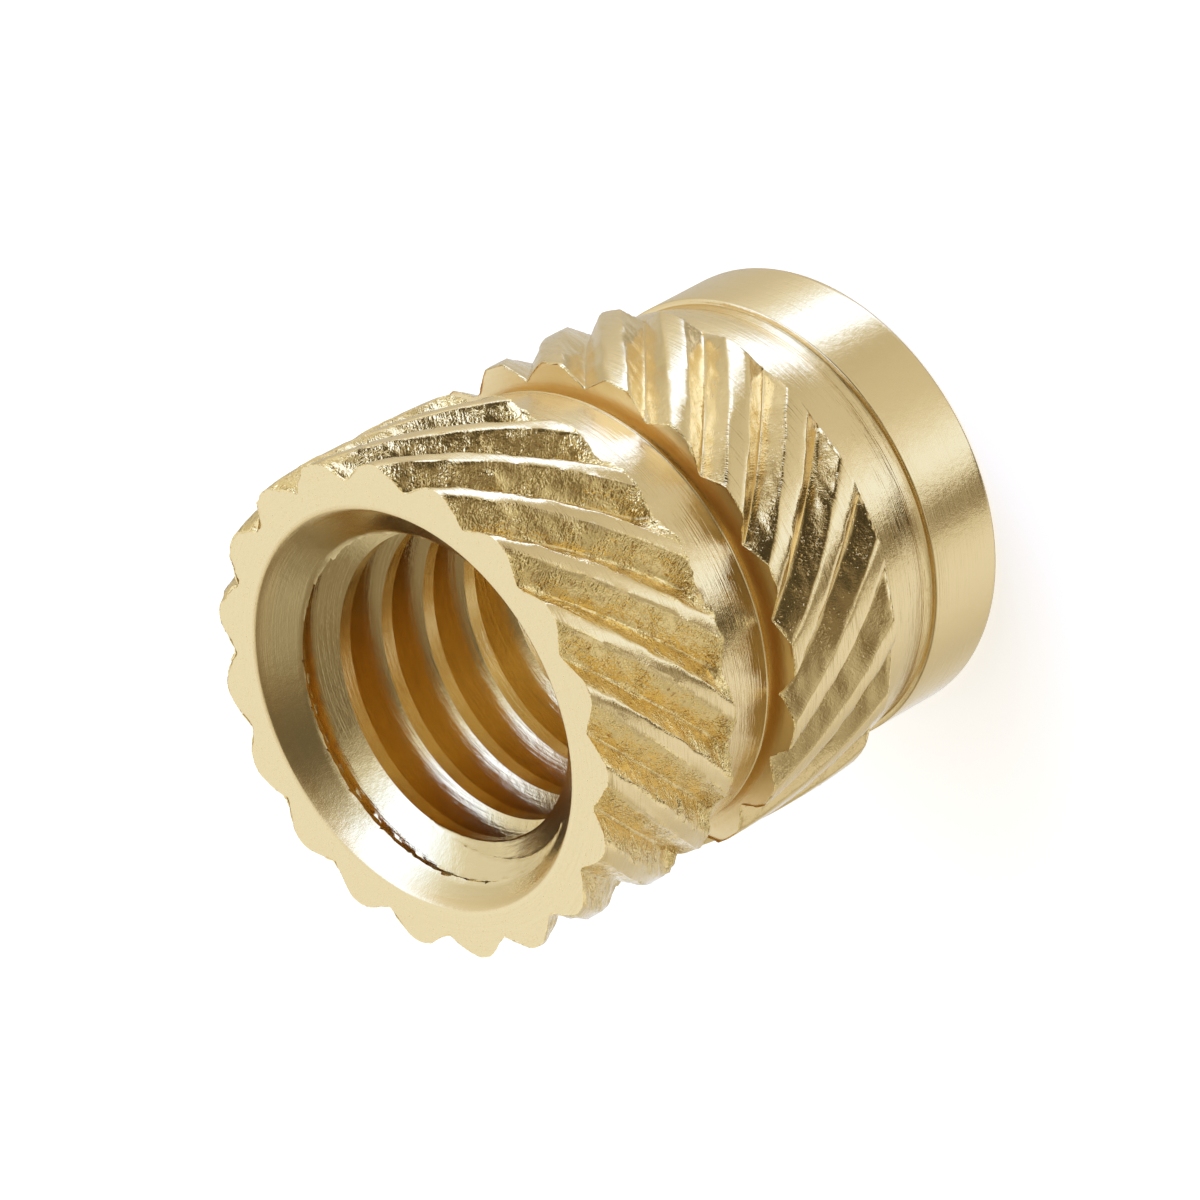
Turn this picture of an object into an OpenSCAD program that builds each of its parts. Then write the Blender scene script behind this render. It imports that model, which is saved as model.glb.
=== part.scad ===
// Threaded insert for plastic parts, turned from one brass bar.
// Two knurled bands of opposite hand grip the plastic, and the neck between them locks it lengthwise.
// The insert stands on its pilot: +Z runs along the axis and out of the threaded mouth,
// and the origin is the centre of the pilot's end face.

/* [Overall] */
// Length from the pilot's end face to the mouth face
insert_len = 8; // [7.4:0.1:14]
// Diameter over the lands of both knurled bands
knurl_d = 7; // [5.8:0.1:10]

/* [Threaded bore] */
// Minor diameter of the M5 x 0.8 thread
thread_minor_d = 4.25; // [3.2:0.05:5.2]
// Included angle of the countersink at the mouth
mouth_angle = 90; // [60:5:120]
// Width of the flat face left between the countersink and the foot of the knurl
face_rim_w = 0.37; // [0.2:0.01:0.5]
// Chamfer at the pilot end of the bore, on the radius
tail_chamfer = 0.25; // [0.1:0.05:0.4]

/* [Knurling] */
// Pitch of the knurling wheel, square to its teeth
knurl_pitch = 0.8; // [0.6:0.05:1.2]
// Angle between the knurl's grooves and the axis
helix_angle = 45; // [15:1:50]
// Included angle of a groove, square to its run
groove_angle = 88; // [75:1:120]
// Width of the narrow flat at the bottom of a groove, round the circumference
groove_root_w = 0.03; // [0.02:0.01:0.1]

/* [Long band, at the mouth] */
// Length of the long band
long_band_len = 2.4; // [1.6:0.1:4]
// Width of its lands, round the circumference
long_land_w = 0.3; // [0.15:0.01:0.5]
// Turn of its first land about the axis
long_band_turn = 7.4; // [0:0.1:19]

/* [Short band, in the middle] */
// Length of the short band, its chamfer included
short_band_len = 2.15; // [1.2:0.05:3]
// Width of its lands, round the circumference
short_land_w = 0.4; // [0.15:0.01:0.5]
// Chamfer at the pilot end of its lands, along the axis
land_chamfer = 0.2; // [0.1:0.05:0.4]
// Turn of its first land about the axis
short_band_turn = 8.5; // [0:0.1:19]

/* [Collar and neck] */
// Length of the round-shouldered collar behind the long band
collar_len = 1.17; // [0.8:0.01:2]
// How far the collar starts below the lands
collar_drop = 0.06; // [0.03:0.01:0.1]
// How far the bottom of the neck lies below the lands
neck_drop = 0.455; // [0.35:0.005:0.6]
// Width of the flat at the bottom of the neck
neck_w = 0.05; // [0.03:0.01:0.4]

/* [Plain band and pilot] */
// How far the plain band starts below the lands
plain_drop = 0.25; // [0.12:0.01:0.3]
// How far the plain band falls toward the relief groove, rounding over as it goes
plain_fall = 0.1; // [0:0.01:0.15]
// How far the pilot lies below the lands
pilot_drop = 0.3; // [0.25:0.01:0.5]
// Length of the pilot
pilot_len = 1.25; // [0.8:0.05:2.5]
// Sharp edge taken off the pilot's end
pilot_edge = 0.06; // [0.03:0.01:0.2]
// Width of the relief groove between the plain band and the pilot
relief_w = 0.25; // [0.1:0.01:0.4]
// Depth of the relief groove below the pilot
relief_depth = 0.08; // [0.04:0.01:0.15]

/* [Hidden] */

brass = [0.80, 0.66, 0.40];
round_fn = 96;
// The knurled rings reach this far under the foot of their grooves, into the turned blank
ring_overlap = 0.14;
// The blank lies this far under the foot of the grooves
blank_clear = 0.05;
// A cut runs this far past the face that it opens
cut_past = 0.5;
// Turn of the section from one slice of a knurled ring to the next
slice_turn = 4;
// Points along the collar's rounded shoulder
shoulder_steps = 8;
// Points along the plain band, where it rounds over to the relief groove
plain_steps = 5;

knurl_r = knurl_d / 2;
thread_minor_r = thread_minor_d / 2;
tooth_count = round(PI * knurl_d * cos(helix_angle) / knurl_pitch);
long_groove = groove_depth(long_land_w);
short_groove = groove_depth(short_land_w);

mouth_r = knurl_r - long_groove - face_rim_w;
mouth_depth = (mouth_r - thread_minor_r) / tan(mouth_angle / 2);
neck_r = knurl_r - neck_drop;
collar_r = knurl_r - collar_drop;
plain_r = knurl_r - plain_drop;
pilot_r = knurl_r - pilot_drop;
relief_r = pilot_r - relief_depth;

// Heights, from the mouth down to the pilot
long_band_z = insert_len - long_band_len;
neck_top_z = long_band_z - collar_len;
short_band_top_z = neck_top_z - neck_w;
short_band_z = short_band_top_z - short_band_len;
relief_top_z = pilot_len + relief_w;

// Depth of a V groove that leaves lands of the given width
function groove_depth(land_w) =
    (PI * knurl_d / tooth_count - land_w - groove_root_w) / 2
    * cos(helix_angle) / tan(groove_angle / 2);

// Angle that a length round the lands takes up at the axis
function arc_angle(w) = w / knurl_r * 180 / PI;

function polar(r, a) = [r * cos(a), r * sin(a)];

// Outline of a knurled band across the axis: a land, a groove, a land and so on
function knurl_outline(land_w, depth) =
    let (step = 360 / tooth_count, land = arc_angle(land_w), root = arc_angle(groove_root_w))
    [for (k = [0 : tooth_count - 1])
        for (p = [[knurl_r, -land / 2], [knurl_r, 0], [knurl_r, land / 2],
                  [knurl_r - depth, (step - root) / 2], [knurl_r - depth, (step + root) / 2]])
            polar(p[0], k * step + p[1])];

// Rounded shoulder of the collar, level at its top and steepest at the neck
function shoulder_points() =
    [for (i = [0 : shoulder_steps])
        let (t = i / shoulder_steps)
        [collar_r - (collar_r - neck_r) * t * t, long_band_z - collar_len * t]];

// Plain band from the relief groove up to the short band, level at its top
function plain_points() =
    [for (i = [0 : plain_steps])
        let (t = 1 - i / plain_steps)
        [plain_r - plain_fall * t * t, short_band_z - (short_band_z - relief_top_z) * t]];

// Section of the turned blank beside the axis, from the pilot's end up to the mouth
function blank_section() = concat(
    [[0, 0],
     [pilot_r - pilot_edge, 0],
     [pilot_r, pilot_edge],
     [pilot_r, pilot_len],
     [relief_r, pilot_len + relief_w / 5],
     [relief_r, pilot_len + relief_w * 4 / 5]],
    plain_points(),
    [[knurl_r - short_groove - blank_clear, short_band_z],
     [knurl_r - short_groove - blank_clear, short_band_top_z],
     [neck_r, short_band_top_z]],
    [for (i = [shoulder_steps : -1 : 0]) shoulder_points()[i]],
    [[knurl_r - long_groove - blank_clear, long_band_z],
     [knurl_r - long_groove - blank_clear, insert_len],
     [0, insert_len]]);

module turned_blank() {
    rotate_extrude($fn = round_fn) polygon(blank_section());
}

// One knurled ring standing on z = 0. hand is 1 for grooves that climb anticlockwise, or -1
module knurled_ring(len, land_w, depth, hand) {
    twist_angle = len * tan(helix_angle) / knurl_r * 180 / PI;
    linear_extrude(height = len, twist = -hand * twist_angle, slices = ceil(twist_angle / slice_turn))
        difference() {
            polygon(knurl_outline(land_w, depth));
            circle(r = knurl_r - depth - ring_overlap, $fn = 24);
        }
}

module long_band() {
    translate([0, 0, long_band_z]) rotate(long_band_turn)
        knurled_ring(long_band_len, long_land_w, long_groove, 1);
}

// The lands of the short band slope down to the plain band at their pilot end
module short_band() {
    chamfer_slope = plain_drop / land_chamfer;
    translate([0, 0, short_band_z]) intersection() {
        rotate(short_band_turn) knurled_ring(short_band_len, short_land_w, short_groove, -1);
        rotate_extrude($fn = round_fn)
            polygon([[0, -cut_past],
                     [plain_r - chamfer_slope * cut_past, -cut_past],
                     [plain_r + chamfer_slope * (short_band_len + cut_past), short_band_len + cut_past],
                     [0, short_band_len + cut_past]]);
    }
}

// Plain bore at the thread's minor diameter, with the mouth's countersink and the tail's chamfer
module bore() {
    translate([0, 0, -cut_past])
        cylinder(h = insert_len + 2 * cut_past, r = thread_minor_r, $fn = round_fn);
    translate([0, 0, insert_len - mouth_depth])
        cylinder(h = mouth_depth + cut_past, r1 = thread_minor_r,
                 r2 = mouth_r + cut_past * tan(mouth_angle / 2), $fn = round_fn);
    translate([0, 0, -cut_past])
        cylinder(h = cut_past + tail_chamfer, r1 = thread_minor_r + tail_chamfer + cut_past,
                 r2 = thread_minor_r, $fn = round_fn);
}

module insert() {
    color(brass) difference() {
        union() {
            turned_blank();
            long_band();
            short_band();
        }
        bore();
    }
}

insert();
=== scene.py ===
# %% [markdown]
# # A knurled threaded insert
# A small brass insert that is pressed hot into a plastic boss. It is turned from one bar, so the whole
# thing is one closed skin: a milled mouth face, two knurled bands of opposite hand, a collar and a neck
# between them, a plain band, a relief groove, a pilot, and a threaded bore. A skin like this could be
# cut with booleans from a cylinder, but the knurl's edges would come out ragged and the mesh uneven.
# Here every point is worked out on a grid instead, turn by row, so the edges of the grid run along
# the edges of the metal.

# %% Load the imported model
import math

import bpy
import numpy as np
from mathutils import Matrix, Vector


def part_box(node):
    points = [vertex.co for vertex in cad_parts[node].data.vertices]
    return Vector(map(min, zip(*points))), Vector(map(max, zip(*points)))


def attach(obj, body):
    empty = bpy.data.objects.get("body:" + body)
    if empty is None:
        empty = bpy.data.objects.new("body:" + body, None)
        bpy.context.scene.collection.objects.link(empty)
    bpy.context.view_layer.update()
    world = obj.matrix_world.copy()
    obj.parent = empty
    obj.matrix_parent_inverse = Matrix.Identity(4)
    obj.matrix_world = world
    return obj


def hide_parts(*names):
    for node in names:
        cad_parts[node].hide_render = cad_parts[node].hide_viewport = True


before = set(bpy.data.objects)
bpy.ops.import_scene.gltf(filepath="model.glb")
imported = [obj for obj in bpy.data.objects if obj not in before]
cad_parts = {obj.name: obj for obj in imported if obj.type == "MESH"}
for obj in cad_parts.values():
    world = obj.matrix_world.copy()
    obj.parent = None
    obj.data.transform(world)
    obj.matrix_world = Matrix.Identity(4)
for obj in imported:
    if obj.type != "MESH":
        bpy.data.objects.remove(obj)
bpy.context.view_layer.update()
MM = 0.001
low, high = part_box("insert")
insert_len = (high[2] - low[2]) / MM
knurl_r = (high[0] - low[0]) / 2 / MM
print(f"insert {insert_len:.2f} mm long, {2 * knurl_r:.2f} mm over the lands")

# %% [markdown]
# ## The sizes
# Everything below is in millimetres and degrees, from the pilot's end face up, as on the drawing. The
# last step turns millimetres into metres. The bands share one tooth count, because both are rolled
# with the same wheel.

# %% Sizes of the knurl
tooth_count = 19
tooth_step = 360 / tooth_count
helix_angle, groove_angle = 45, 88
groove_root_w = 0.03
long_land_w, short_land_w = 0.30, 0.40
groove_cot = math.cos(math.radians(helix_angle)) / math.tan(math.radians(groove_angle / 2))
helix_rate = math.degrees(1 / knurl_r)  # turn of a 45 degree groove, in degrees per mm of height
run_rate = math.sqrt(2)  # length of a 45 degree groove, in mm per mm of height


def groove_depth(land_w):
    """Depth of the V groove between lands of the given width: half of the gap between two lands, less
    the flat at its root, times cos(helix angle) / tan(half the groove's angle)."""
    return (math.pi * 2 * knurl_r / tooth_count - land_w - groove_root_w) / 2 * groove_cot


long_depth, short_depth = groove_depth(long_land_w), groove_depth(short_land_w)
print(f"grooves {long_depth:.3f} and {short_depth:.3f} mm deep")

# %% Heights and radii of the bands, the collar and the pilot
long_band_z = insert_len - 2.40
lip_z, neck_z, short_top_z = 4.53, 4.45, 4.38
short_foot_z, land_chamfer = 2.23, 0.20
relief_top_z, pilot_len, pilot_edge = 1.50, 1.25, 0.06
collar_r, lip_r, neck_r = knurl_r - 0.16, knurl_r - 0.38, knurl_r - 0.54
plain_r, pilot_r, relief_r = knurl_r - 0.25, knurl_r - 0.30, knurl_r - 0.38
print(f"long band down to {long_band_z:.2f} mm, short band from {short_top_z} down to {short_foot_z} mm")

# %% Sizes of the bore
thread_pitch, minor_r, major_r = 0.80, 2.125, 2.56
thread_angle, crest_w = 60, 0.20
flank_slope = 1 / math.tan(math.radians(thread_angle / 2))  # mm outwards for each mm along the axis
face_rim_w = 0.37
mouth_r = knurl_r - long_depth - face_rim_w
mouth_z = insert_len - (mouth_r - minor_r)  # where the 90 degree countersink meets the crests
tail_chamfer = 0.25
print(f"countersink {2 * mouth_r:.2f} mm wide and {insert_len - mouth_z:.2f} mm deep")

# %% [markdown]
# ## Chance, but the same each time
# Torn metal and burrs need noise. Value noise is enough: a random number sits on each point of a
# lattice, and between the points it is blended smoothly. The lattice wraps round the part, so no seam
# shows, and the random numbers come from a sine hash, so each run gives the same part.

# %% Noise that wraps round the part
def lattice(i, j, seed):
    """A fixed random number from 0 to 1 for each whole-number pair: the fraction of a large sine."""
    v = np.sin(i * 127.1 + j * 311.7 + seed * 74.7) * 43758.5453
    return v - np.floor(v)


def noise(turns, along, cells, seed):
    """Value noise from 0 to 1. turns counts turns round the part, with cells lattice cells in each,
    and along is already in cells. Blend weight: 3t^2 - 2t^3."""
    u, v = np.broadcast_arrays(turns * cells, along)
    i, j = np.floor(u), np.floor(v)
    s, t = u - i, v - j
    s, t = s * s * (3 - 2 * s), t * t * (3 - 2 * t)
    i0, i1 = np.mod(i, cells), np.mod(i + 1, cells)
    this_row = lattice(i0, j, seed) * (1 - s) + lattice(i1, j, seed) * s
    next_row = lattice(i0, j + 1, seed) * (1 - s) + lattice(i1, j + 1, seed) * s
    return this_row * (1 - t) + next_row * t


def rough(turns, along, cells, seed):
    """Three octaves of value noise about zero, each twice as fine and half as high. The most that they
    add up to is 1/2 + 1/4 + 1/8 = 0.875, so dividing by that gives -1 to 1."""
    total = 0
    for octave in range(3):
        f = 2**octave
        total = total + (noise(turns, along * f, cells * f, seed + octave) - 0.5) / f
    return total / 0.875


print("noise at one point:", round(float(noise(0.1, 0.3, 7, 1)), 3))

# %% Smooth steps, corners and bumps
def step(x, x0, x1):
    """Smooth step: 0 before x0, 1 after x1, and 3t^2 - 2t^3 between."""
    t = np.clip((x - x0) / (x1 - x0), 0, 1)
    return t * t * (3 - 2 * t)


def corner(x, soft):
    """max(x, 0) with its corner rounded to a hyperbola: (x + sqrt(x^2 + soft^2)) / 2."""
    return (x + np.sqrt(x * x + soft * soft)) / 2


def near(x, width):
    """1 where x is 0, and less on both sides: exp(-(x / width)^2)."""
    return np.exp(-(x / width) ** 2)


def fade(distance, reach):
    """1 at no distance, and less further away: exp(-distance / reach)."""
    return np.exp(-distance / reach)


print("halfway up a step:", step(0.5, 0, 1))

# %% [markdown]
# ## The columns of the grid
# Each tooth has 24 columns, closest at the edges of its land. In a band the columns lean with the
# helix, so an edge of a land is one line of the mesh. In the collar they drift over to the other
# band's lean, and on the faces they spread out evenly.

# %% Where the columns stand in one tooth
per_tooth = 24
columns = per_tooth * tooth_count
half = tooth_step / 2
psi_long = np.array([-half, -9.0, -8.3, -7.4, -6.5, -5.6, -4.7, -3.8, -3.15, -2.72, -2.36, -1.3,
                     0, 1.3, 2.25, 2.65, 3.1, 3.8, 4.7, 5.6, 6.5, 7.4, 8.3, 9.0])
floor_psi, root_psi = 8.9, 9.3  # columns past these turns are on the groove's floor, and at its very root
long_half = math.degrees(long_land_w / 2 / knurl_r)
short_half = math.degrees(short_land_w / 2 / knurl_r)
psi_short = np.interp(psi_long, [-half, -long_half, long_half, half], [-half, -short_half, short_half, half])
psi_even = -half + tooth_step * np.arange(per_tooth) / per_tooth
print(f"lands reach {long_half:.2f} and {short_half:.2f} degrees either way")

# %% Turn of every column
tooth_turn = np.repeat(np.arange(tooth_count) * tooth_step, per_tooth)
psi_l, psi_s, psi_e = (np.tile(p, tooth_count)[None, :] for p in (psi_long, psi_short, psi_even))
turns_l, turns_s = (tooth_turn + psi_l) / 360, (tooth_turn + psi_s) / 360  # for the noise, without the helix
long_turn, short_turn = 7.4, 46.40  # turn of a land at the foot of each band


def long_phi(z):
    """Turn of each column in the long band: its land's turn, plus the helix, plus its own place."""
    return long_turn + helix_rate * (z - long_band_z) + tooth_turn + psi_l


def short_phi(z):
    """The same in the short band, where the helix runs the other way."""
    return short_turn - helix_rate * (z - short_foot_z) + tooth_turn + psi_s


even_phi = long_turn + helix_rate * (insert_len - long_band_z) + tooth_turn + psi_e
print(columns, "columns")

# %% [markdown]
# ## The long band
# A rolled groove is a V with its sides almost square to each other. The wheel tears the brass rather
# than cutting it, so the sides are rough, the edges of the lands wander, and each groove stops at the
# collar in a slanted lip with a burr on it.

# %% Section of a groove
def groove(psi, land_half, soft):
    """Share of the full depth at a turn psi from the land's middle: 0 on the land, rising evenly to 1
    at the root, with both corners rounded."""
    root_half = half - math.degrees(groove_root_w / 2 / knurl_r)
    x = (np.abs(psi) - land_half) / (root_half - land_half)
    return 1 - corner(1 - corner(x, soft), soft)


print("share of the depth on a land, half way and in a root:",
      [round(float(groove(psi, long_half, 0.05)), 3) for psi in (0, (long_half + half) / 2, half)])

# %% Marks of the wheel and the milling cutter on the long band, in mm
long_wander = 1.1  # how far the edges of a land stray, in degrees
long_coarse, long_fine = 0.022, 0.016  # chatter of the wheel
long_nick = 0.022  # nicks along the edges of a land
ridge_height = 0.016  # metal that the wheel pushes up along one edge
root_fill = 0.022  # torn metal left in the root
mouth_wear, wear_reach = 0.016, 0.08  # the cutter has rounded the teeth over, this deep and this far down
blind_rise, blind_len = 0.5, 0.16  # the floor climbs by half its depth over the last stretch
burr_limit = 0.010  # nothing on the band stands further than this over the lands
cutter_phi, cutter_spread = 25, 34  # where the cutter left the metal, in degrees
torn_phi = -120  # where the flanks are torn most, in degrees
tear_all_round, tear_swing = 0.24, 0.19  # how torn the flanks are, and how much that changes round the part
tear_at_mouth, tear_at_burr, tear_at_foot = 0.10, 0.6, 0.35  # what is added in those places


def burr_side(phi):
    """How heavily the mouth is burred at a turn phi: 1 where the cutter left the metal, and 0 far
    from it."""
    return near((phi - cutter_phi + 180) % 360 - 180, cutter_spread)


print("burring opposite the cutter's exit:", round(float(burr_side(cutter_phi + 180)), 6))

# %% Surface of the long band, from the mouth down to its foot
def long_band(z):
    """Radius, turn and tear of the long band at heights z, one row each. The radius is the land's less
    the groove's depth, with the marks of the wheel and the cutter on it. Tear is how torn the metal
    is: most round the side at torn_phi, at the mouth and at the blind ends of the grooves."""
    z = z[:, None]
    phi = long_phi(z)
    run = z * run_rate
    below_mouth = insert_len - z
    off_edge = np.abs(psi_l) - long_half
    worn = fade(below_mouth, wear_reach)

    wander = long_wander * rough(turns_l, run * 3.0, tooth_count * 3, seed=11) * np.sign(psi_l) * (1 - worn)
    on_flank = step(np.abs(psi_l), 1.5, 2.4) * (np.abs(psi_l) < floor_psi)
    g = groove(psi_l + wander * on_flank, long_half, 0.05 + 0.16 * worn)
    nicked = step(noise(turns_l, run * 5, tooth_count * 12, seed=65), 0.4, 0.6)
    tear = np.maximum(step(g, 0.04, 0.16), 0.8 * near(off_edge, 0.45) * nicked)

    chatter = (rough(turns_l, run * 9, tooth_count * 9, seed=21) * long_coarse
               + rough(turns_l, run * 16, tooth_count * 5, seed=31) * long_fine)
    chatter = chatter * (1 + 2.5 * burr_side(phi) * fade(below_mouth, 0.15))
    rise = blind_rise * step(long_band_z + blind_len - z, 0, blind_len)
    r = (knurl_r - long_depth * g * (1 - rise) + tear * chatter * (1 - 0.5 * step(g, 0.9, 1.0))
         - mouth_wear * worn)
    r = r + long_nick * near(off_edge, 0.5) * (noise(turns_l, run * 9, tooth_count * 12, seed=61) - 0.6)
    ridge = near(psi_l + long_half - 0.05, 0.25)
    r = r + ridge_height * ridge * noise(turns_l, run * 3, tooth_count * 5, seed=64) * (1 - worn)
    in_root = np.abs(psi_l) > root_psi
    r = r + root_fill * in_root * noise(turns_l, run * 5, tooth_count, seed=63) * (1 - worn)

    tear = tear * (tear_all_round + tear_swing * np.cos(np.radians(phi - torn_phi))
                   + (tear_at_mouth + tear_at_burr * burr_side(phi)) * fade(below_mouth, 0.12)
                   + tear_at_foot * step(long_band_z + 0.25 - z, 0, 0.2))
    return np.minimum(r, knurl_r + burr_limit), phi, tear


print("one height gives a ring of", long_band(np.array([insert_len]))[0].size, "points")

# %% [markdown]
# ## The collar and the neck
# Behind the long band the bar is turned to a shoulder that tapers to a lip, and behind the lip lies a
# sharp neck. Plastic flows into the neck and keeps the insert from pulling out.

# %% Shoulder of the collar
def collar(z):
    """Radius of the collar: a straight taper from the long band's foot to the lip."""
    t = np.clip((long_band_z - z) / (long_band_z - lip_z), 0, 1)
    return collar_r - (collar_r - lip_r) * t


def drift_phi(z):
    """Turn of the columns between the bands: from the long band's foot to the short band's top."""
    t = step(z, short_top_z, long_band_z)
    return short_phi(short_top_z) * (1 - t) + long_phi(long_band_z) * t


print(f"collar {2 * collar(long_band_z):.2f} mm wide at the band and {2 * collar(lip_z):.2f} mm at the lip")

# %% [markdown]
# ## The short band
# The same wheel, the other hand, and shallower, so its lands are wider. Its top is the flat wall of the
# neck, with a burr along the scalloped edge, and its foot is chamfered down to the plain band.

# %% Surface of the short band
short_wander = 0.8  # degrees
short_coarse, short_fine, short_nick = 0.007, 0.004, 0.016


def short_band(z):
    """Radius, turn and tear of the short band, worked out like the long band's. Below the chamfer's
    top the lands fall straight to the plain band's radius. The grooves are a little deeper than the
    plain band, and run out in a small step."""
    z = z[:, None]
    phi = short_phi(z)
    run = z * run_rate
    off_edge = np.abs(psi_s) - short_half

    wander = short_wander * rough(turns_s, run * 2.6, tooth_count * 3, seed=12) * np.sign(psi_s)
    on_flank = step(np.abs(psi_s), 2.2, 3.1) * (np.abs(psi_s) < floor_psi)
    g = groove(psi_s + wander * on_flank, short_half, 0.035)
    nicked = step(noise(turns_s, run * 5, tooth_count * 12, seed=66), 0.4, 0.6)
    tear = np.maximum(step(g, 0.05, 0.2), near(off_edge, 0.4) * nicked)

    chatter = (rough(turns_s, run * 8, tooth_count * 9, seed=22) * short_coarse
               + rough(turns_s, run * 22, tooth_count * 5, seed=32) * short_fine)
    r = knurl_r - short_depth * g + tear * chatter
    r = r + short_nick * near(off_edge, 0.4) * (noise(turns_s, run * 9, tooth_count * 12, seed=62) - 0.7)
    chamfer = knurl_r - (knurl_r - plain_r) / land_chamfer * np.clip(short_foot_z + land_chamfer - z, 0, 1)
    return np.minimum(np.minimum(r, chamfer), knurl_r), phi, tear


print(f"its grooves reach down to a radius of {knurl_r - short_depth:.3f} mm")

# %% [markdown]
# ## The skin outside
# The rows run from the rim of the countersink out over the mouth face, down the outside and in
# under the pilot. Each row is one ring of radius, turn and height, and a few numbers for the finish:
# how torn the metal is, how deep its turned rings are, and how rough it shines.

# %% Collect the rows
rows = {k: [] for k in ("r", "phi", "z", "tear", "rings", "rough")}


def add(r, phi, z, tear=0.0, rings=0.0, shine=0.2):
    """Adds rings to the skin. Each value may be one number, a column of them or a full grid."""
    values = [np.atleast_2d(np.asarray(v, float)) for v in (r, phi, z, tear, rings, shine)]
    full = np.broadcast_arrays(*values, np.zeros((1, columns)))  # the last one only sets the width
    for name, grid in zip(rows, full):
        rows[name].append(grid)


def rings_of(*pairs, phi, **finish):
    """Adds plain rings, each at its own (radius, height)."""
    r, z = np.array(pairs, float).T
    add(r[:, None], phi, z[:, None], **finish)


print("kept for each point:", ", ".join(rows))

# %% The mouth face
rim_r, rim_phi, _ = (a[0] for a in long_band(np.array([insert_len])))
face_finish = dict(tear=0.03, rings=0.2, shine=0.26)
face_out = 3.15  # from this radius on, the rings of the face take the shape of the teeth
add(mouth_r + 0.012, even_phi, insert_len, **face_finish)
for r, share in ((2.90, 0.15), (3.00, 0.4), (3.09, 0.75), (face_out, 1.0)):
    add(r, even_phi * (1 - share) + rim_phi * share, insert_len, **face_finish)
for share in (0.3, 0.62, 0.86, 0.955):
    add(face_out + (rim_r - face_out) * share, rim_phi, insert_len, **face_finish)
print("rim between", rim_r.min().round(3), "and", rim_r.max().round(3), "mm")

# %% The burr along the rim: flecks of metal, most of them in the grooves and on the cutter's side
burred = burr_side(rim_phi)
fleck = np.clip(noise(turns_l, 3.3, tooth_count * 24, seed=71) - 0.45 + 0.3 * burred, 0, 1)
fleck = fleck * (0.10 + 0.9 * step(groove(psi_l, long_half, 0.05), 0.2, 0.8)) * (0.5 + 0.5 * burred)
add(rim_r - 0.02 * fleck, rim_phi, insert_len + 0.05 * fleck, tear=0.3, shine=0.2)
add(rim_r + 0.006 + 0.11 * fleck, rim_phi, insert_len + 0.002 + 0.03 * fleck, tear=0.3, shine=0.2)
print(f"flecks stand up to {0.05 * fleck.max():.3f} mm over the face")

# %% The long band
long_gap = 0.064  # height between two rows
z = np.concatenate([[insert_len - 0.014, insert_len - 0.045],
                    np.arange(insert_len - 0.10, long_band_z + 0.04, -long_gap),
                    [long_band_z + 0.035, long_band_z + 0.012, long_band_z + 0.002]])
r, phi, tear = long_band(z)
add(r, phi, z[:, None], tear=tear, rings=0.5 * np.clip(1 - 3 * tear, 0, 1), shine=0.13 + 0.07 * tear)
foot_r, foot_phi = r[-1], phi[-1]
print(len(z), "rows in the long band")

# %% Ends of the grooves: a wall square to the axis, from the groove's floor up to the collar
burr = (0.075 * noise(turns_l, 4.4, tooth_count * 14, seed=51)
        * np.clip(1.7 * noise(turns_l, 5.4, tooth_count * 5, seed=52), 0, 1))
ragged = 0.045 * (noise(turns_l, 6.4, tooth_count * 12, seed=53) - 0.5)
add(foot_r + ragged, foot_phi, long_band_z - 0.003 - burr, tear=0.8, shine=0.22)
for share in (0.4, 0.8, 0.98):
    wall_r = foot_r + (collar_r - foot_r) * share + ragged * (1 - share)
    add(wall_r, foot_phi, long_band_z - 0.01 * share - burr, tear=0.8, shine=0.22)
add(collar_r - 0.004, foot_phi, long_band_z - 0.025 - burr, rings=0.6, shine=0.12)
print(f"burrs reach {burr.max():.3f} mm past the band's foot")

# %% The collar, its lip and the neck
collar_gap = 0.085
z = np.concatenate([np.arange(long_band_z - 0.115, 4.60, -collar_gap), [4.578]])[:, None]
add(collar(z), drift_phi(z), z, rings=0.38, shine=0.08)
rings_of((lip_r + 0.009, 4.566), (lip_r + 0.019, 4.556), (lip_r + 0.020, 4.542), (lip_r + 0.006, lip_z),
         (neck_r + 0.07, 4.51), (neck_r + 0.005, 4.47), (neck_r, 4.41), (neck_r + 0.01, short_top_z),
         phi=drift_phi(neck_z), rings=0.3, shine=0.16)
print(len(z), "rows on the collar")

# %% The wall of the short band, and the burr along its edge
edge_r, edge_phi, _ = short_band(np.array([short_top_z]))
wall_finish = dict(rings=0.12, shine=0.32)
wall_in, wall_out = 3.06, 3.19
rings_of((wall_in, short_top_z), (wall_out, short_top_z), phi=edge_phi, **wall_finish)
for share in (0.4, 0.75, 0.93):
    add(wall_out + (edge_r - wall_out) * share, edge_phi, short_top_z, **wall_finish)
lip = (0.004 + 0.07 * noise(turns_s, 1.7, tooth_count * 12, seed=72)
       * noise(turns_s, 2.7, tooth_count * 5, seed=73))
ragged = 0.03 * (noise(turns_s, 3.7, tooth_count * 12, seed=74) - 0.5)
add(edge_r - 0.010 + ragged, edge_phi, short_top_z + lip, tear=0.6, shine=0.2)
print(f"burr up to {lip.max():.3f} mm high")

# %% The short band
short_gap = 0.066
z = np.concatenate([[short_top_z - 0.012, short_top_z - 0.04], np.arange(4.28, 2.50, -short_gap),
                    [2.46, 2.43, 2.40, 2.36, 2.31, 2.27, short_foot_z + 0.005]])
r, phi, tear = short_band(z)
add(r, phi, z[:, None], tear=tear * 0.06, rings=0.6 * (1 - tear), shine=0.10)
print(len(z), "rows in the short band")

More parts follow.
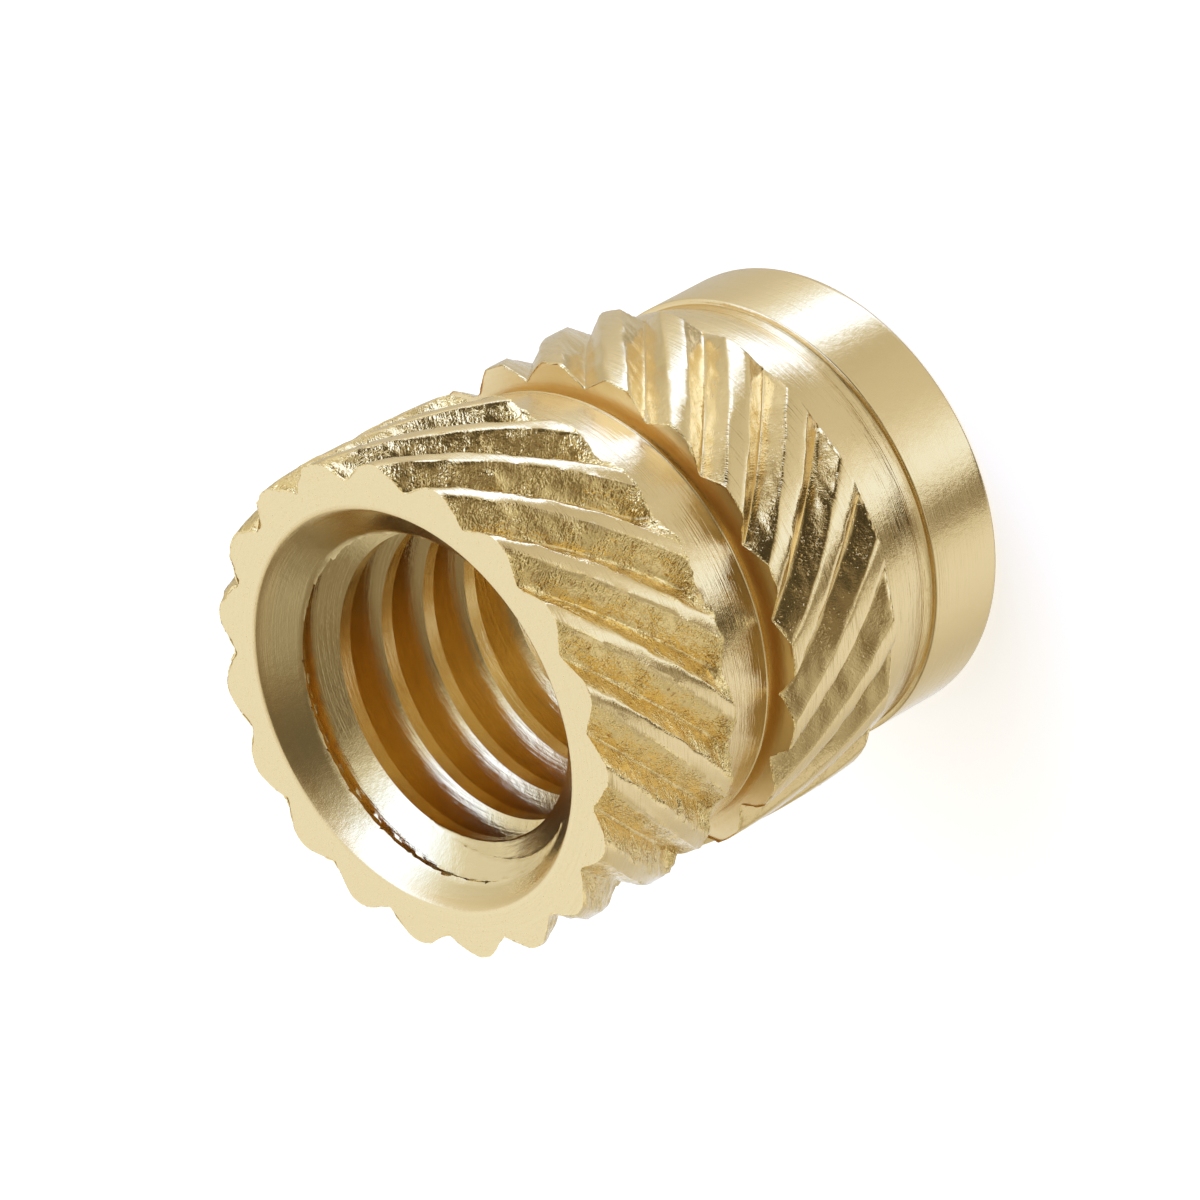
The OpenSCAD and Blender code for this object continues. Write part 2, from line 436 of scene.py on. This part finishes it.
# %% The plain band, the relief groove, the pilot and its end face
plain_top = 2.2
plain_bow = 0.2  # the plain band falls by this much times the square of the way down, both in mm
rings_of((plain_r, short_foot_z - 0.004), (plain_r, 2.19), phi=short_phi(short_foot_z), rings=0.5, shine=0.09)
rings_of(*((plain_r - plain_bow * (plain_top - z) ** 2, z)
           for z in (2.0, 1.85, 1.72, 1.64, 1.58, 1.53, relief_top_z)),
         phi=even_phi, rings=0.5, shine=0.09)
rings_of((relief_r + 0.01, 1.49), (relief_r, 1.47), (relief_r, 1.285), (relief_r + 0.01, 1.262),
         (relief_r + 0.03, 1.255), (pilot_r - 0.010, pilot_len), (pilot_r - 0.002, 1.242), (pilot_r, 1.225),
         phi=even_phi, rings=0.4, shine=0.18)
rings_of((pilot_r, 0.95), (pilot_r, 0.5), (pilot_r, 0.12), (pilot_r - 0.004, 0.07), (pilot_r - 0.02, 0.03),
         (pilot_r - pilot_edge, 0.0), phi=even_phi, rings=0.30, shine=0.16)
rings_of((2.95, 0.0), (2.70, 0.0), phi=even_phi, rings=0.6, shine=0.26)

skin = {name: np.concatenate(values) for name, values in rows.items()}
print("outside skin:", skin["r"].shape)

# %% [markdown]
# ## The threaded bore
# A tapped thread climbs one pitch in each turn. Rows that lie flat would cut its crests into steps,
# so the rows of the bore climb with the thread: the last column of row k is the first column of
# the row one pitch further up. Rows that climb past the countersink or the tail are pressed flat
# there, and the points that fall together are made one.

# %% Radius of the bore
bore_columns = columns // 2
bore_turns = np.arange(bore_columns + 1) / bore_columns
bore_phi0 = float(even_phi[0, 0])
crest_gauge_z, crest_gauge_phi = 7.21, -270  # a crest's upper edge lies at this height at this turn
crest_z = crest_gauge_z + thread_pitch * (bore_phi0 - crest_gauge_phi) / 360  # and here at the first column


def bore_radius(z, turns):
    """Radius of the hollow: the widest of thread, countersink and tail chamfer. The thread is a
    60 degree V, cut off at the crests and at the roots."""
    below_crest = np.mod(crest_z + thread_pitch * turns - z + 1e-7, thread_pitch)
    v = np.clip(np.minimum(below_crest - crest_w, thread_pitch - below_crest), 0, None) * flank_slope
    thread = minor_r + np.minimum(v, major_r - minor_r)
    sink = minor_r + (z - mouth_z)
    tail = minor_r + (tail_chamfer - z)
    return np.maximum(np.maximum(thread, sink), tail)


print(f"thread {2 * minor_r:.2f} mm over the crests and {2 * major_r:.2f} mm over the roots")

# %% Heights of the rows of the bore
profile = np.array([0.775, 0.715, 0.655, 0.60, 0.549, 0.50, 0.451, 0.37, 0.29, 0.20, 0.10, 0.0])  # below a crest
per_pitch = len(profile)
flat_low, flat_high = 0.27, 7.295  # the climbing rows are pressed flat at these heights
sink_gap = 0.021
tail_rows = np.array([0.0, 0.02, 0.05, 0.09, 0.13, 0.17, 0.21, 0.245])
top_rows = np.concatenate([np.arange(flat_high, 7.885, sink_gap), [7.93, insert_len - 0.012]])

first_turn = math.floor((flat_low - crest_z) / thread_pitch) - 1
last_turn = math.ceil((flat_high - crest_z) / thread_pitch) + 1
turn_of_row = np.repeat(np.arange(first_turn, last_turn + 1), per_pitch)
row_z = crest_z + thread_pitch * turn_of_row - np.tile(profile, last_turn - first_turn + 1)
climb_z = row_z[:, None] + thread_pitch * bore_turns[None, :]
climb_z = np.clip(climb_z, flat_low, flat_high)
print(len(row_z), "climbing rows")

# %% Number the points of the bore, so that those which fall together are one
k, c = np.meshgrid(np.arange(len(row_z)), np.arange(bore_columns + 1), indexing="ij")
wrap = c == bore_columns
k_home, c_home = np.where(wrap, k + per_pitch, k), np.where(wrap, 0, c)
under, over = climb_z <= flat_low, climb_z >= flat_high
low_key, high_key = -1 - c_home, -1 - bore_columns - c_home
key = np.where(under, low_key, np.where(over, high_key, k_home * bore_columns + c_home))
used, first, point = np.unique(key, return_index=True, return_inverse=True)
point = point.reshape(key.shape)
climb_points_z = climb_z.ravel()[first]
climb_points_turn = np.broadcast_to(bore_turns, climb_z.shape).ravel()[first]
ring_low = np.searchsorted(used, -1 - np.arange(bore_columns))
ring_high = np.searchsorted(used, -1 - bore_columns - np.arange(bore_columns))
print(len(used), "points on the climbing rows")

# %% Flat rings at the tail and in the countersink
sink_burr, sink_burr_w = 0.030, 0.012  # height and width of the burr where the thread breaks the cone
snap = 0.0106  # just over half of sink_gap, so each edge finds a point
crest_window = 0.60  # the crest that ends in the cone has its upper edge from this far under mouth_z


def flat_rings(heights):
    """Radius and height of flat rings in the bore."""
    z = np.asarray(heights)[:, None] + 0 * bore_turns[None, :-1]
    return bore_radius(z, bore_turns[None, :-1]), z


def cone_rings(heights):
    """The same in the countersink. The nearest point of each column is moved onto the edges that the
    first groove cuts into the cone: its two mouths, and the two edges of its root. The mouths are where
    the cone's radius, minor_r + z - mouth_z, is the flank's, or the root's if that is met first. A thin
    burr stands along them while the groove is open."""
    z = np.asarray(heights)[:, None] + 0 * bore_turns[None, :-1]
    turns = bore_turns[:-1]
    column = np.arange(len(turns))
    depth = major_r - minor_r
    lowest = mouth_z - crest_window
    crest = lowest + np.mod(crest_z + thread_pitch * turns - mouth_z + crest_window, thread_pitch)
    root_low, root_high = crest + depth / flank_slope, crest + thread_pitch - crest_w - depth / flank_slope
    mouth_low = np.where(crest > mouth_z, (flank_slope * crest - mouth_z) / (flank_slope - 1), crest)
    mouth_high = (depth + flank_slope * (root_high - mouth_z)) / (flank_slope + 1)
    mouth_high = mouth_z + np.minimum(mouth_high, depth)
    still_open = mouth_low < mouth_high
    burr = np.zeros_like(z)
    for edge, size in ((root_low, 0), (root_high, 0), (mouth_low, 0.5), (mouth_high, 1)):
        row = np.abs(z - edge).argmin(0)
        found = (np.abs(z[row, column] - edge) < snap) & still_open
        z[row[found], column[found]] = edge[found]
        burr = np.maximum(burr, size * still_open * near(z - edge, sink_burr_w))
    uneven = (0.15 + noise(turns, 0.5, bore_columns, seed=81) * noise(turns, 0.5, 57, seed=82) * 2.2)
    return bore_radius(z, turns[None, :]) - burr * sink_burr * uneven, z


tail_r, tail_z = flat_rings(tail_rows)
top_r, top_z = cone_rings(top_rows[1:])
climb_r = bore_radius(climb_points_z, climb_points_turn)
print(len(tail_rows), "rings at the tail and", len(top_rows) - 1, "in the countersink")

# %% [markdown]
# ## One closed mesh
# The outside skin, the bore and the two places where 456 columns meet 228 are put together. Quads that
# were pressed flat lose a side or vanish.

# %% Points
def to_xyz(r, phi_deg, z):
    """Polar to Cartesian: x = r cos phi, y = r sin phi, in metres."""
    a = np.radians(phi_deg)
    return np.stack([r * np.cos(a), r * np.sin(a), z + 0 * r], -1).reshape(-1, 3) * MM


ring_phi = bore_phi0 + 360 * bore_turns[None, :-1]
parts = [to_xyz(skin["r"], skin["phi"], skin["z"]),
         to_xyz(tail_r, ring_phi, tail_z),
         to_xyz(climb_r, bore_phi0 + 360 * climb_points_turn, climb_points_z),
         to_xyz(top_r, ring_phi, top_z)]
skin_start, tail_start, climb_start, top_start, _ = np.cumsum([0] + [len(p) for p in parts])
points = np.concatenate(parts)
print(len(points), "points")

# %% Faces
def wrap_grid(first_point, n_rows, n_cols):
    """Point numbers of rings that close on themselves: rows x (columns + 1), the last column the first."""
    ids = first_point + np.arange(n_rows * n_cols).reshape(n_rows, n_cols)
    return np.concatenate([ids, ids[:, :1]], 1)


def quads(ids):
    """Four corners of each cell of a grid of point numbers, facing out of the metal."""
    return np.stack([ids[:-1, :-1], ids[1:, :-1], ids[1:, 1:], ids[:-1, 1:]], -1).reshape(-1, 4)


def join(fine, coarse, fine_first):
    """Three triangles for each coarse edge and the two fine edges that face it."""
    a, b, c = fine[0:-1:2], fine[1::2], fine[2::2]
    p, q = coarse[:-1], coarse[1:]
    if fine_first:
        tris = [(a, p, b), (b, p, q), (b, q, c)]
    else:
        tris = [(p, a, b), (p, b, q), (q, b, c)]
    return np.concatenate([np.stack(t, -1) for t in tris])


skin_ids = wrap_grid(skin_start, skin["r"].shape[0], columns)
tail_ids = wrap_grid(tail_start, len(tail_rows), bore_columns)
top_ids = wrap_grid(top_start, len(top_rows) - 1, bore_columns)
climb_ids = climb_start + point
low_ring = climb_start + np.append(ring_low, ring_low[0])
high_ring = climb_start + np.append(ring_high, ring_high[0])

faces4 = np.concatenate([quads(skin_ids), quads(np.vstack([tail_ids, low_ring])),
                         quads(climb_ids), quads(np.vstack([high_ring, top_ids]))])
joints = np.concatenate([join(skin_ids[-1], tail_ids[0], True), join(skin_ids[0], top_ids[-1], False)])
print(len(faces4), "quads before the flat ones go")

# %% Quads with two corners in one point become triangles, and those with more go
same = np.stack([faces4[:, i] == faces4[:, (i + 1) % 4] for i in range(4)], 1)
whole = faces4[~same.any(1)]
pinched = same.sum(1) == 1
other_three = np.array([[1, 2, 3], [0, 2, 3], [0, 1, 3], [0, 1, 2]])[same[pinched].argmax(1)]
faces3 = np.concatenate([joints, np.take_along_axis(faces4[pinched], other_three, 1)])
print(len(whole), "quads and", len(faces3), "triangles:", 2 * len(whole) + len(faces3), "triangles in all")

# %% The mesh
mesh = bpy.data.meshes.new("insert_body")
mesh.from_pydata(points.tolist(), [], whole.tolist() + faces3.tolist())
mesh.validate()
mesh.polygons.foreach_set("use_smooth", np.ones(len(mesh.polygons), bool))
mesh.set_sharp_from_angle(angle=math.radians(42))
print("mesh made:", len(mesh.polygons), "faces")

# %% Finish of each point, for the material
across_rate = math.radians(knurl_r * math.sqrt(0.5))  # mm square to a groove, per degree of turn
run_shift = 7.3  # the wheel's marks on one tooth are read this far, in mm, from those on the next
bore_rings, bore_rough = 0.16, 0.14
no_bore = np.zeros(len(points) - tail_start)  # the bore has no grooves and no tears

bore_z = np.concatenate([tail_z.ravel(), climb_points_z, top_z.ravel()])
bore_r = np.concatenate([tail_r.ravel(), climb_r, top_r.ravel()])
in_sink = step(bore_z, mouth_z - 0.02, mouth_z + 0.05) * (bore_r < minor_r + bore_z - mouth_z + 0.004)
in_long_half = skin["z"] > (long_band_z + short_top_z) / 2
across = np.where(in_long_half, psi_l, -psi_s) * across_rate
run = skin["z"] * run_rate + across + run_shift * tooth_turn / tooth_step
finish = {
    "run": np.concatenate([run.ravel(), no_bore]),
    "lane": np.concatenate([np.abs(across).ravel(), no_bore]),
    "tear": np.concatenate([skin["tear"].ravel(), no_bore]),
    "rings": np.concatenate([skin["rings"].ravel(), bore_rings - 0.04 * in_sink]),
    "rough": np.concatenate([skin["rough"].ravel(), bore_rough + 0.06 * in_sink]),
}
for name, values in finish.items():
    mesh.attributes.new(name, "FLOAT", "POINT").data.foreach_set("value", values.astype(np.float32))
print("finish:", ", ".join(finish))

# %% The piece
insert = bpy.data.objects.new("insert_body", mesh)
bpy.context.scene.collection.objects.link(insert)
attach(insert, "root")
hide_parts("insert")
print("piece:", insert.name)

# %% [markdown]
# ## Brass
# Bare brass is all mirror: its colour is the colour of its reflections, and twice-reflected light
# in a groove is twice as golden. So the colour itself changes little: it is paler in the bore, a little
# golden at random, more golden where the metal is torn, which is painted light thrown back and forth in
# the torn grain, and darker in the creases, which is painted shade. Most of the finish is in the
# surface: rings left by the turning tool, torn grain in the rolled grooves, and how sharply each part shines.

# %% Node helpers: each adds to tree, the node tree that is being built
def empty_tree(owner):
    """Switches a material or a world to nodes, and gives its tree with nothing in it."""
    owner.use_nodes = True
    owner.node_tree.nodes.clear()
    return owner.node_tree


def feed(socket, value):
    """Links a node's output to an input, or sets the input to a plain value."""
    if isinstance(value, bpy.types.NodeSocket):
        tree.links.new(value, socket)
    else:
        socket.default_value = value


def node(kind, **settings):
    """A new node. A setting called in_NAME is the value of an input or a link to it, and any other
    is a property of the node."""
    n = tree.nodes.new(kind)
    for name, value in settings.items():
        if name.startswith("in_"):
            feed(n.inputs[name[3:].replace("_", " ")], value)
        else:
            setattr(n, name, value)
    return n


def filled(kind, *values, **settings):
    """The first output of a new node, its inputs filled in order with links or numbers."""
    n = node(kind, **settings)
    for socket, value in zip(n.inputs, values):
        feed(socket, value)
    return n.outputs[0]


def math_node(operation, *values, clamp=False):
    """One Math node on links or numbers."""
    return filled("ShaderNodeMath", *values, operation=operation, use_clamp=clamp)


def times(a, b, **more):
    """The product of two links or numbers."""
    return math_node("MULTIPLY", a, b, **more)


def plus(a, b, **more):
    """Their sum."""
    return math_node("ADD", a, b, **more)


def map_range(value, from_min, from_max, to_min=0.0, to_max=1.0):
    """The value carried over from one range to another, and held at the ends."""
    return filled("ShaderNodeMapRange", value, from_min, from_max, to_min, to_max)


def mix_colour(share, a, b):
    """Colour a where share is 0, and colour b where it is 1."""
    n = node("ShaderNodeMix", data_type="RGBA")
    for i, value in ((0, share), (6, a), (7, b)):
        feed(n.inputs[i], value)
    return n.outputs[2]


def combine(x, y, z):
    """A vector from three links or numbers."""
    return filled("ShaderNodeCombineXYZ", x, y, z)


def noise_node(vector, scale, detail, roughness=0.6):
    """A noise texture on the given coordinates: its value, about 0.5."""
    return node("ShaderNodeTexNoise", in_Vector=vector, in_Scale=scale, in_Detail=detail,
                in_Roughness=roughness).outputs[0]


def bump(height, strength, distance, **under):
    """A bump of the given height, on top of another bump if in_Normal says so."""
    return node("ShaderNodeBump", in_Height=height, in_Strength=strength, in_Distance=distance,
                **under).outputs[0]


print("node helpers ready")

# %% The brass material, and where a point is on the part
brass = bpy.data.materials.new("turned brass")
tree = empty_tree(brass)
place = node("ShaderNodeTexCoord").outputs["Object"]
run_value, lane_value, tear_value, rings_value, rough_value = (
    node("ShaderNodeAttribute", attribute_name=name).outputs["Fac"] for name in finish)

place_x, place_y, place_z = node("ShaderNodeSeparateXYZ", in_Vector=place).outputs
from_axis = math_node("SQRT", plus(times(place_x, place_x), times(place_y, place_y)))
side_x, side_y = (math_node("DIVIDE", way, from_axis) for way in (place_x, place_y))
profile_way = plus(place_z, times(from_axis, 0.63))  # changes along the profile, on a face as well
print("material:", brass.name)

# %% Turned rings: noise stretched round the axis
whole_cells, part_cells, fine_cells = 27000.0, 30000.0, 60000.0  # rings in a metre of the profile


def ring_noise(round_cells, along_cells, detail):
    """Noise on the direction from the axis and the way along the profile, with so many cells in a
    unit of the one and in a metre of the other."""
    return noise_node(combine(times(side_x, round_cells), times(side_y, round_cells),
                              times(profile_way, along_cells)), 1.0, detail)


whole_ring = noise_node(combine(times(profile_way, whole_cells), 0.5, 0.5), 1.0, 2.0)
part_ring = ring_noise(2.6, part_cells, 2.0)
fine_ring = ring_noise(13.0, fine_cells, 1.0)
ring_height = plus(plus(times(whole_ring, 0.8), part_ring), times(fine_ring, 0.30))
print("rings: whole, part and fine")

# %% The rolled grooves: strokes across the groove, torn grain, patches and specks
tone_cells, grain_cells, crease_cells = 3500.0, 12000.0, 15000.0  # in a metre: grains are 1/12 mm wide
speck_cells, micro_cells = 24000.0, 60000.0
stroke_cells, lane_cells = 20.0, 2.5  # in a millimetre, along the groove and across it

strokes = noise_node(combine(times(run_value, stroke_cells), times(lane_value, lane_cells), 0.0), 1.0, 2.0, 0.7)
grain = noise_node(place, grain_cells, 2.0)
crease = math_node("ABSOLUTE", plus(noise_node(place, crease_cells, 1.0), -0.5))  # sharp where the noise is 0.5
torn_height = plus(plus(times(strokes, 0.6), times(grain, 0.7)), times(crease, 1.5))
tone = noise_node(place, tone_cells, 4.0, 0.7)
patches = map_range(tone, 0.40, 0.60, 0.25, 1.45)  # some patches are torn far more than others
speck_noise = plus(noise_node(place, speck_cells, 1.0), times(tone, 0.6))
speck = map_range(speck_noise, 0.99, 1.05)  # a few sharp specks, thrown up by the wheel
micro = noise_node(place, micro_cells, 1.0)
print("grooves: strokes, grain, creases, patches and specks")

# %% The surface: four bumps, one on top of the other
ring_depth, torn_depth, speck_depth, micro_depth = 1.5e-5, 6.4e-5, 1.4e-5, 1.2e-6  # in metres
normal = bump(ring_height, rings_value, ring_depth)
normal = bump(torn_height, times(tear_value, patches), torn_depth, in_Normal=normal)
normal = bump(speck, times(tear_value, 6.0, clamp=True), speck_depth, in_Normal=normal)
normal = bump(plus(micro, times(tone, 5.0)), 1.0, micro_depth, in_Normal=normal)
print("surface: rings, tears, specks and a fine grain")

# %% Colour: brass, painted more golden where torn metal throws light back and forth, and painted shade in the creases
brass_colour, golden_colour = (0.88, 0.70, 0.385, 1), (1.0, 0.785, 0.36, 1)
# the crease colour is painted shade: a dark brass put into the creases of the torn grain
bore_colour, crease_shade_colour = (0.86, 0.71, 0.40, 1), (0.58, 0.36, 0.12, 1)
bore_from, bore_to = 2.75e-3, 2.65e-3  # the bore's colour fades in between these radii, in metres

torn_share = times(tear_value, 2.4, clamp=True)
# painted reflected light: a little golden at random everywhere, and much more where the metal is torn
golden_share = times(plus(tone, times(grain, 0.7)), plus(torn_share, 0.08), clamp=True)
in_bore = map_range(from_axis, bore_from, bore_to)
# painted shade: darkest where grain and strokes dip low, in the creases of the torn metal
crease_shade_share = map_range(plus(grain, times(strokes, 0.6)), 0.70, 0.54)
colour = mix_colour(golden_share, brass_colour, golden_colour)
colour = mix_colour(in_bore, colour, bore_colour)
colour = mix_colour(times(crease_shade_share, torn_share), colour, crease_shade_colour)
gloss = plus(rough_value, times(plus(grain, -0.5), plus(times(tear_value, 0.3), 0.08)))

shader = node("ShaderNodeBsdfPrincipled", in_Metallic=1.0, in_Base_Color=colour, in_Roughness=gloss,
              in_Normal=normal)
feed(node("ShaderNodeOutputMaterial").inputs[0], shader.outputs[0])
mesh.materials.append(brass)
print(len(tree.nodes), "nodes in the brass")

# %% [markdown]
# ## The studio
# Metal shows what stands round it, so the studio is mostly a dome of light: tall soft strips, dimmer
# panels and the dark gaps between them. The dome is given as rings, each a list of light levels by
# azimuth, and between two rings the levels are blended. The bench leans back a little, so the dome's
# pole is tilted towards -Y, and every upright edge of a panel runs to that pole.

# %% Light levels of the dome: {elevation: [(azimuth, level), ...]}, both in degrees
DOME = {
    -75: [(-180, 0.62), (-134, 0.60), (-127, 0.04), (-114, 0.04), (-106, 0.66), (-60, 0.60), (-40, 0.42),
          (-20, 0.30), (10, 0.45), (40, 0.56), (90, 0.80), (130, 0.60), (180, 0.62)],
    -55: [(-180, 0.72), (-160, 0.88), (-140, 0.90), (-130, 0.60), (-127, 0.02), (-114, 0.02), (-109, 0.95),
          (-106, 1.18), (-98, 1.18), (-88, 0.88), (-80, 0.66), (-52, 0.68), (-46, 0.52), (-42, 0.62), (-38, 1.5),
          (-33, 2.6), (-21, 2.4), (-14, 1.10), (-6, 0.86), (4, 0.72), (14, 0.64), (60, 0.60), (75, 0.60), (95, 1.1),
          (120, 0.85), (140, 0.70), (165, 0.60), (180, 0.72)],
    -26: [(-180, 0.66), (-160, 0.82), (-150, 0.88), (-138, 0.86), (-130, 0.66), (-126, 0.30), (-117, 0.30),
          (-112, 0.95), (-106, 1.15), (-98, 1.18), (-88, 0.92), (-80, 0.72), (-60, 0.62), (-49, 0.52), (-44, 0.62),
          (-39, 1.2), (-33, 2.2), (-22, 2.2), (-14, 1.2), (-4, 0.90), (6, 0.74), (16, 0.64), (40, 0.50), (65, 0.60),
          (90, 1.0), (120, 0.80), (140, 0.60), (170, 0.60), (180, 0.66)],
    -4: [(-180, 0.40), (-160, 0.38), (-145, 0.45), (-132, 0.58), (-127, 0.40), (-118, 0.40), (-112, 0.80),
         (-104, 1.05), (-90, 0.90), (-75, 0.72), (-50, 0.62), (-43, 0.80), (-35, 1.3), (-18, 1.25), (-6, 0.92),
         (6, 0.80), (30, 0.68), (60, 0.60), (80, 0.80), (95, 0.90), (110, 0.70), (125, 0.38), (132, 0.13),
         (140, 0.12), (147, 0.48), (158, 0.58), (170, 0.44), (180, 0.40)],
    9: [(-180, 0.78), (-160, 0.74), (-145, 0.36), (-130, 0.48), (-110, 0.60), (-92, 0.72), (-80, 0.42), (-66, 0.22),
        (-52, 0.14), (-44, 0.07), (-30, 0.06), (-20, 0.12), (-8, 0.36), (0, 0.60), (20, 0.66), (60, 0.85), (80, 1.02),
        (96, 1.00), (110, 0.78), (122, 0.68), (134, 0.45), (144, 0.18), (152, 0.30), (160, 0.50), (180, 0.75)],
    26: [(-180, 0.42), (-162, 0.74), (-150, 0.56), (-140, 0.34), (-128, 0.48), (-88, 0.50), (-80, 0.22), (-70, 0.12),
         (-60, 0.05), (-45, 0.02), (-30, 0.04), (-24, 0.30), (-17, 1.6), (0, 1.5), (10, 1.2), (20, 0.92), (40, 0.80),
         (60, 0.80), (80, 1.05), (96, 1.00), (110, 0.68), (125, 0.40), (134, 0.20), (148, 0.24), (158, 0.34),
         (180, 0.42)],
    50: [(-180, 0.29), (-150, 0.20), (-120, 0.14), (-95, 0.16), (-70, 0.22), (-50, 0.38), (-38, 0.75), (-28, 1.7),
         (-16, 2.4), (20, 2.4), (45, 2.2), (58, 1.4), (72, 1.0), (90, 0.80), (110, 0.60), (132, 0.40), (144, 0.20),
         (180, 0.29)],
    68: [(-180, 0.14), (-150, 0.13), (-100, 0.11), (-84, 0.13), (-72, 0.20), (-54, 0.28), (-42, 0.45), (-32, 0.58),
         (-12, 0.50), (0, 0.60), (18, 0.90), (28, 1.3), (36, 1.2), (46, 0.70), (60, 0.52), (100, 0.50), (120, 0.43),
         (135, 0.28), (144, 0.17), (180, 0.14)],
    84: [(-180, 0.12), (-90, 0.16), (-30, 0.27), (0, 0.34), (40, 0.28), (60, 0.17), (90, 0.10), (140, 0.10),
         (180, 0.12)],
}
print(len(DOME), "rings of light,", sum(len(v) for v in DOME.values()), "levels")

# %% Colour of the light by its level: dim corners of the room are warm, the strips are cool and bright
TINT = [
    (0.0, (0.02, 0.016, 0.010)), (0.10, (0.115, 0.098, 0.062)), (0.20, (0.235, 0.185, 0.12)),
    (0.33, (0.36, 0.325, 0.25)), (0.50, (0.54, 0.51, 0.43)), (0.70, (0.71, 0.69, 0.64)),
    (0.90, (0.87, 0.89, 0.93)), (1.10, (0.99, 1.11, 1.34)), (1.30, (1.08, 1.29, 1.85)),
    (1.60, (1.20, 1.50, 2.60)), (2.60, (1.60, 2.00, 3.40)),
]
top_level = 4  # a ramp holds 0 to 1, so it keeps levels as a share of this, and the dome's strength undoes it
print(len(TINT), "tints")

# %% Direction in the dome
world = bpy.data.worlds.new("studio")
bpy.context.scene.world = world
tree = empty_tree(world)
bench_lean = 17.8
way = node("ShaderNodeTexCoord").outputs["Generated"]
tilted = node("ShaderNodeVectorRotate", rotation_type="X_AXIS", in_Vector=way,
              in_Angle=-math.radians(bench_lean)).outputs[0]
way_x, way_y, way_z = node("ShaderNodeSeparateXYZ", in_Vector=tilted).outputs
azimuth = plus(math_node("DIVIDE", math_node("ARCTAN2", way_y, way_x), 2 * math.pi), 0.5)  # 0 to 1
elevation = times(math_node("ARCSINE", way_z), 180 / math.pi)  # in degrees
print(f"dome tilted by {bench_lean} degrees")

# %% The dome
def ramp(value, stops):
    """A colour ramp on a value from 0 to 1. stops is a list of (position, (r, g, b))."""
    n = node("ShaderNodeValToRGB")
    elements = n.color_ramp.elements
    while len(elements) < len(stops):
        elements.new(1.0)
    for element, (position, colour) in zip(elements, stops):
        element.position = position
        element.color = (*(c / top_level for c in colour), 1)
    feed(n.inputs[0], value)
    return n.outputs[0]


def ring_of_light(stops):
    """The light levels round one ring of the dome."""
    return ramp(azimuth, [((degrees + 180) / 360, (level, level, level)) for degrees, level in stops])


heights = sorted(DOME)
light = ring_of_light(DOME[heights[0]])
for lower, upper in zip(heights, heights[1:]):
    light = mix_colour(map_range(elevation, lower, upper), light, ring_of_light(DOME[upper]))
tinted = ramp(light, [(level / top_level, colour) for level, colour in TINT])
dome = node("ShaderNodeBackground", in_Color=tinted, in_Strength=top_level)
white = node("ShaderNodeBackground", in_Color=(1, 1, 1, 1))  # what the camera sees behind the part
camera_sees = node("ShaderNodeLightPath").outputs["Is Camera Ray"]
sky = filled("ShaderNodeMixShader", camera_sees, dome.outputs[0], white.outputs[0])
feed(node("ShaderNodeOutputWorld").inputs[0], sky)
print("dome set")

# %% Floor: a pale matt sheet that glows to the camera only, so it is almost the white behind it
floor_half = 3.0  # metres
floor_grey, floor_glow = 0.9, 0.62
floor_mesh = bpy.data.meshes.new("floor")
floor_corners = [(x * floor_half, y * floor_half, 0) for x, y in ((-1, -1), (1, -1), (1, 1), (-1, 1))]
floor_mesh.from_pydata(floor_corners, [], [(0, 1, 2, 3)])
floor = bpy.data.objects.new("floor", floor_mesh)
bpy.context.scene.collection.objects.link(floor)
floor.visible_glossy = False
floor.visible_shadow = False

pale_floor = bpy.data.materials.new("pale floor")
tree = empty_tree(pale_floor)
matt = node("ShaderNodeBsdfDiffuse", in_Color=(floor_grey, floor_grey, floor_grey, 1))
camera_sees = node("ShaderNodeLightPath").outputs["Is Camera Ray"]
glow = node("ShaderNodeEmission", in_Color=(1, 1, 1, 1), in_Strength=times(camera_sees, floor_glow))
both = filled("ShaderNodeAddShader", matt.outputs[0], glow.outputs[0])
feed(node("ShaderNodeOutputMaterial").inputs[0], both)
floor_mesh.materials.append(pale_floor)
print("floor", 2 * floor_half, "m wide")

# %% Camera
camera_place = (0.000089, -0.10772, 0.09400)
right, up_way, ahead = ((-0.48028, -0.56128, -0.67402), (0.87712, -0.30733, -0.36907), (0, 0.76845, -0.63991))
camera_data = bpy.data.cameras.new("camera")
camera_data.sensor_width = 36
camera_data.lens = 317.7
camera_data.clip_start, camera_data.clip_end = 0.001, 10
camera = bpy.data.objects.new("camera", camera_data)
bpy.context.scene.collection.objects.link(camera)
turn = Matrix((right, up_way, tuple(-a for a in ahead))).transposed()
camera.matrix_world = Matrix.Translation(camera_place) @ turn.to_4x4()
bpy.context.scene.camera = camera
bpy.context.scene.view_settings.view_transform = "Standard"
bpy.context.scene.cycles.glossy_bounces = 8  # light goes back and forth many times in the bore
print(f"camera {math.dist(camera_place, (0, 0, 0)) * 1000:.0f} mm from the pilot's end face")

# %% Bring the scene up to date
bpy.context.view_layer.update()
